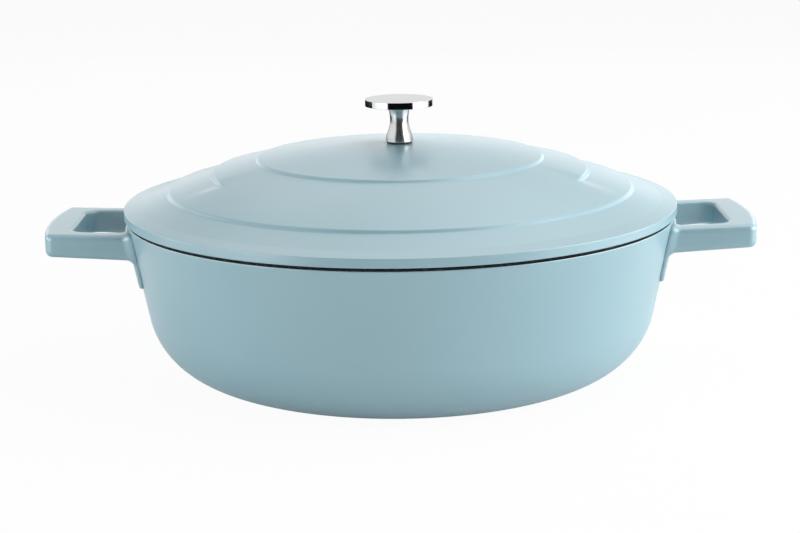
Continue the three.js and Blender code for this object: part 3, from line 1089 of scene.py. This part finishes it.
# Camera of the photograph
cameraView = {
    "place": (-0.00068, -1.0, 0.28118),
    "pitch": 0.2234,
    "roll": -0.0141,
    "lens": 85.92,
    "sensor": 36,
    "clip": (0.05, 50),
}


def makeCamera():
    data = bpy.data.cameras.new("photoCamera")
    data.sensor_width = cameraView["sensor"]
    data.lens = cameraView["lens"]
    data.clip_start, data.clip_end = cameraView["clip"]
    camera = bpy.data.objects.new("photoCamera", data)
    scene.collection.objects.link(camera)
    tilt = Matrix.Rotation(math.pi / 2 - cameraView["pitch"], 4, "X")
    roll = Matrix.Rotation(cameraView["roll"], 4, "Z")
    camera.matrix_world = Matrix.Translation(cameraView["place"]) @ tilt @ roll
    scene.camera = camera


makeCamera()

# Studio: pale floor, white surroundings, softboxes all round, dark cards seen only in reflections
studio = {
    "ambient": 0.12,
    "floorColour": (0.82, 0.82, 0.82),
    "floorRoughness": 0.9,
    "floorGlow": 0.95,
    "floorMirrored": (0.12, 0.62),
    "mirrorFade": (-0.1, 0.08),
    "floorHalf": 6.0,
    "target": (0, 0, 0.06),
    "cardColour": (0.004, 0.004, 0.004),
    "cardFoot": 0.001,
    "cardPanels": 23,
}
softboxes = {
    "rightFrontBox": {"place": (1.1, -0.5, 0.5), "size": (0.9, 0.9), "power": 12.2},
    "rightSideBox": {"place": (1.2, 0.1, 0.28), "size": (0.9, 0.5), "power": 7.6, "offKnob": True},
    "rightStrip": {"place": (0.85, 0.85, 0.25), "size": (0.9, 0.4), "power": 0.6, "offKnob": True},
    "leftFrontBox": {"place": (-1.0, -0.7, 0.16), "size": (0.8, 0.3), "power": 6.2, "offKnob": True},
    "leftSideBox": {"place": (-1.2, 0.1, 0.28), "size": (0.9, 0.5), "power": 4.4, "offKnob": True},
    "leftStrip": {"place": (-0.85, 0.85, 0.25), "size": (0.9, 0.4), "power": 0.5, "offKnob": True},
    "topBox": {"place": (0.4, 0.1, 1.4), "size": (1.3, 1.1), "power": 8.0, "offKnob": True},
    "topBackBox": {"place": (0.25, 0.9, 1.1), "size": (1.6, 0.7), "power": 3.0},
    "horizonBox": {"place": (0.0, 1.5, 0.24), "size": (2.0, 0.16), "power": 1.5, "offKnob": True},
    "lowBackBox": {"place": (0.0, 1.3, 0.42), "size": (2.2, 0.5), "power": 0.6},
    "frontBox": {"place": (0.0, -1.3, 0.5), "size": (1.6, 0.6), "power": 2.1},
}
cards = {
    "frontCard": {"from": -38, "to": 46, "distance": 0.5, "height": 1.4},
    "leftCard": {"from": -164, "to": -101, "distance": 0.5, "height": 0.08},
    "rightCard": {"from": 116, "to": 150, "distance": 0.5, "height": 0.08},
}


def seenDirectly(tree, cameraShare=1.0, mirrorShare=1.0):
    path = tree.nodes.new("ShaderNodeLightPath").outputs
    mirrored = mathOf(tree, "MAXIMUM", path["Is Glossy Ray"], path["Is Transmission Ray"])
    seen = mathOf(tree, "MULTIPLY", path["Is Camera Ray"], cameraShare)
    return mathOf(tree, "MAXIMUM", seen, mathOf(tree, "MULTIPLY", mirrored, mirrorShare))


def makeWorld():
    world = bpy.data.worlds.new("studioWorld")
    scene.world = world
    world.use_nodes = True
    tree = world.node_tree
    strength = spread(tree, seenDirectly(tree), studio["ambient"], 1.0)
    background = tree.nodes["Background"]
    background.inputs["Color"].default_value = (1, 1, 1, 1)
    wire(tree, strength, background.inputs["Strength"])


def makeFloor():
    half = studio["floorHalf"]
    mesh = bpy.data.meshes.new("studioFloor")
    corners = [(-half, -half, 0), (half, -half, 0), (half, half, 0), (-half, half, 0)]
    mesh.from_pydata(corners, [], [(0, 1, 2, 3)])
    floor = newPiece("studioFloor", mesh)
    finish, tree, shader, place = newFinish("paleFloor")
    shader.inputs["Base Color"].default_value = (*studio["floorColour"], 1)
    shader.inputs["Roughness"].default_value = studio["floorRoughness"]
    shader.inputs["Specular IOR Level"].default_value = 0.0
    glow = addNode(tree, "ShaderNodeEmission", {"Color": (1, 1, 1, 1), "Strength": 1.0}).outputs[0]
    depth = addNode(tree, "ShaderNodeSeparateXYZ", {"Vector": place}).outputs["Y"]
    front, back = studio["mirrorFade"]
    dim, bright = studio["floorMirrored"]  # metal and paint see a darker floor in front
    fadeInputs = {"Value": depth, "From Min": front, "From Max": back, "To Min": dim, "To Max": bright}
    mirrored = addNode(tree, "ShaderNodeMapRange", fadeInputs).outputs["Result"]
    share = seenDirectly(tree, studio["floorGlow"], mirrored)
    blend = addNode(tree, "ShaderNodeMixShader", {0: share, 1: shader.outputs[0], 2: glow}).outputs[0]
    tree.links.new(blend, tree.nodes["Material Output"].inputs["Surface"])
    mesh.materials.append(finish)


def makeSoftbox(name, box):
    lamp = bpy.data.lights.new(name, "AREA")
    lamp.shape = "RECTANGLE"
    lamp.size, lamp.size_y = box["size"]
    lamp.energy = box["power"]
    holder = bpy.data.objects.new(name, lamp)
    scene.collection.objects.link(holder)
    holder.location = box["place"]
    holder.visible_camera = False
    aim = Vector(studio["target"]) - Vector(box["place"])
    holder.rotation_euler = aim.to_track_quat("-Z", "Y").to_euler()
    if box.get("offKnob"):
        holder.light_linking.receiver_collection = knobPieces


def makeCardFinish():
    finish, tree, shader, place = newFinish("darkCard")
    shader.inputs["Base Color"].default_value = (*studio["cardColour"], 1)
    shader.inputs["Roughness"].default_value = 1.0
    shader.inputs["Specular IOR Level"].default_value = 0.0
    return finish


def makeCard(name, card, finish):
    panels = studio["cardPanels"]
    points = []
    for azimuth in np.radians(np.linspace(card["from"], card["to"], panels + 1)):
        x, y = card["distance"] * math.sin(azimuth), -card["distance"] * math.cos(azimuth)
        points += [(x, y, studio["cardFoot"]), (x, y, card["height"])]
    faces = [(2 * i, 2 * i + 1, 2 * i + 3, 2 * i + 2) for i in range(panels)]
    mesh = bpy.data.meshes.new(name)
    mesh.from_pydata(points, [], faces)
    holder = newPiece(name, mesh)
    holder.visible_camera = holder.visible_diffuse = holder.visible_shadow = False
    holder.visible_transmission = False
    mesh.materials.append(finish)


# Lamps marked offKnob leave out the bright steel, which would show them as white patches
knobPieces = bpy.data.collections.new("knobPieces")
for i, pieceName in enumerate(("knobStem", "knobDisc")):
    knobPieces.objects.link(bpy.data.objects[pieceName])
    knobPieces.collection_objects[i].light_linking.link_state = "EXCLUDE"
makeWorld()
makeFloor()
for boxName, box in softboxes.items():
    makeSoftbox(boxName, box)
darkCard = makeCardFinish()
for cardName, card in cards.items():
    makeCard(cardName, card, darkCard)
print("studio made")
